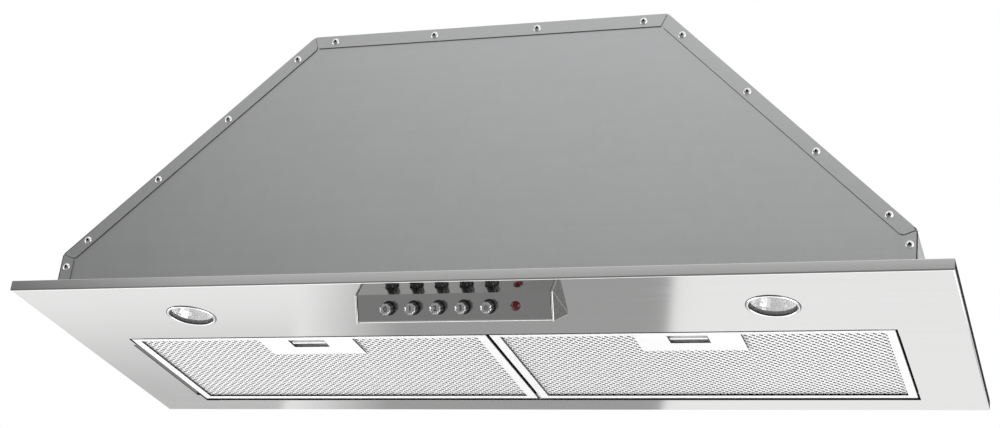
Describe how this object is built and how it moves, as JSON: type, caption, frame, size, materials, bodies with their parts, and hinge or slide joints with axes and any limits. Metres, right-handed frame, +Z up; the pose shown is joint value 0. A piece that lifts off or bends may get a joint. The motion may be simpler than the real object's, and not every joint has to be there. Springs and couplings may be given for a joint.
{
  "type": "range hood",
  "caption": "Built-in range hood: trapezoid steel casing over a polished plate with push buttons, lamps and hinged mesh grease filters, and a blower inside.",
  "frame": {"origin": "middle of the cabinet seat, the plane of the bottom plate's upturned rim", "axes": "+X to the right seen from the front, +Y to the back, +Z up towards the duct"},
  "size_m": [0.75, 0.285, 0.2833],
  "materials": {
    "polished_steel": "finely brushed and polished stainless sheet",
    "galvanised_steel": "dull zinc-coated sheet",
    "bright_steel": "plain turned steel",
    "rivet_aluminium": "pale blind rivets",
    "button_chrome": "satin to bright chrome plate",
    "filter_aluminium": "bright expanded aluminium and pale channel",
    "lamp_mirror": "faceted bright reflector",
    "lamp_glass": "clear glass",
    "red_lens": "clear red lens",
    "black_plastic": "moulded black plastic",
    "grey_plastic": "moulded grey plastic",
    "white_plastic": "pale moulded insulator",
    "motor_paint": "dark motor paint",
    "black_rubber": "soft black rubber"
  },
  "bodies": {
    "hood": {"bottom_plate": "polished_steel", "wrap_panel": "galvanised_steel", "front_panel": "galvanised_steel", "rear_panel": "galvanised_steel", "front_rivets": "rivet_aluminium", "rear_rivets": "rivet_aluminium", "control_box": "polished_steel", "button_bushes": "black_plastic", "indicator_lens": "red_lens", "switch_block": "black_plastic", "centre_hanger": "galvanised_steel", "scroll_wrap": "galvanised_steel", "scroll_left_side": "galvanised_steel", "scroll_right_side": "galvanised_steel", "motor_body": "motor_paint", "motor_bracket": "galvanised_steel", "motor_bushes": "black_rubber", "duct_collar": "galvanised_steel", "top_screws": "bright_steel", "damper_pin": "bright_steel", "junction_box": "galvanised_steel", "junction_cover": "galvanised_steel", "terminal_block": "white_plastic", "cable_gland": "black_plastic", "lamp_transformer": "black_plastic", "capacitor": "white_plastic", "capacitor_clip": "bright_steel", "left_lamp_bezel": "button_chrome", "left_lamp_glass": "lamp_glass", "left_lamp_reflector": "lamp_mirror", "left_lamp_bulb": "lamp_glass", "left_lamp_holder": "white_plastic", "right_lamp_bezel": "button_chrome", "right_lamp_glass": "lamp_glass", "right_lamp_reflector": "lamp_mirror", "right_lamp_bulb": "lamp_glass", "right_lamp_holder": "white_plastic"},
    "off_button": {"off_button": "button_chrome"},
    "speed_1_button": {"speed_1_button": "button_chrome"},
    "speed_2_button": {"speed_2_button": "button_chrome"},
    "speed_3_button": {"speed_3_button": "button_chrome"},
    "light_button": {"light_button": "button_chrome"},
    "left_filter": {"left_filter_frame": "filter_aluminium", "left_filter_mesh": "filter_aluminium", "left_filter_pad": "filter_aluminium", "left_filter_pins": "bright_steel", "left_latch_plate": "filter_aluminium"},
    "left_latch": {"left_latch_slider": "filter_aluminium"},
    "right_filter": {"right_filter_frame": "filter_aluminium", "right_filter_mesh": "filter_aluminium", "right_filter_pad": "filter_aluminium", "right_filter_pins": "bright_steel", "right_latch_plate": "filter_aluminium"},
    "right_latch": {"right_latch_slider": "filter_aluminium"},
    "fan": {"impeller": "grey_plastic", "motor_shaft": "bright_steel"},
    "front_damper": {"front_damper_flap": "grey_plastic"},
    "rear_damper": {"rear_damper_flap": "grey_plastic"}
  },
  "joints": [
    {"name": "off_button_press", "type": "slide", "parent": "hood", "child": "off_button", "axis": [0, 0.8688, 0.4952], "range_m": [0, 0.003], "stiffness_N_per_m": 300},
    {"name": "speed_1_button_press", "type": "slide", "parent": "hood", "child": "speed_1_button", "axis": [0, 0.8688, 0.4952], "range_m": [0, 0.003], "stiffness_N_per_m": 300},
    {"name": "speed_2_button_press", "type": "slide", "parent": "hood", "child": "speed_2_button", "axis": [0, 0.8688, 0.4952], "range_m": [0, 0.003], "stiffness_N_per_m": 300},
    {"name": "speed_3_button_press", "type": "slide", "parent": "hood", "child": "speed_3_button", "axis": [0, 0.8688, 0.4952], "range_m": [0, 0.003], "stiffness_N_per_m": 300},
    {"name": "light_button_press", "type": "slide", "parent": "hood", "child": "light_button", "axis": [0, 0.8688, 0.4952], "range_m": [0, 0.003], "stiffness_N_per_m": 300},
    {"name": "left_filter_tilt", "type": "hinge", "parent": "hood", "child": "left_filter", "pos_m": [0, 0.109, -0.0045], "axis": [1, 0, 0], "range_deg": [0, 80]},
    {"name": "left_latch_slide", "type": "slide", "parent": "left_filter", "child": "left_latch", "axis": [0, 1, 0], "range_m": [0, 0.0055], "stiffness_N_per_m": 300},
    {"name": "right_filter_tilt", "type": "hinge", "parent": "hood", "child": "right_filter", "pos_m": [0, 0.109, -0.0045], "axis": [1, 0, 0], "range_deg": [0, 80]},
    {"name": "right_latch_slide", "type": "slide", "parent": "right_filter", "child": "right_latch", "axis": [0, 1, 0], "range_m": [0, 0.0055], "stiffness_N_per_m": 300},
    {"name": "fan_spin", "type": "hinge", "parent": "hood", "child": "fan", "pos_m": [0, -0.0311, 0.1162], "axis": [1, 0, 0], "continuous": true},
    {"name": "front_damper_swing", "type": "hinge", "parent": "hood", "child": "front_damper", "pos_m": [0, 0.0209, 0.228], "axis": [-1, 0, 0], "range_deg": [0, 75]},
    {"name": "rear_damper_swing", "type": "hinge", "parent": "hood", "child": "rear_damper", "pos_m": [0, 0.0209, 0.228], "axis": [1, 0, 0], "range_deg": [0, 75]}
  ]
}
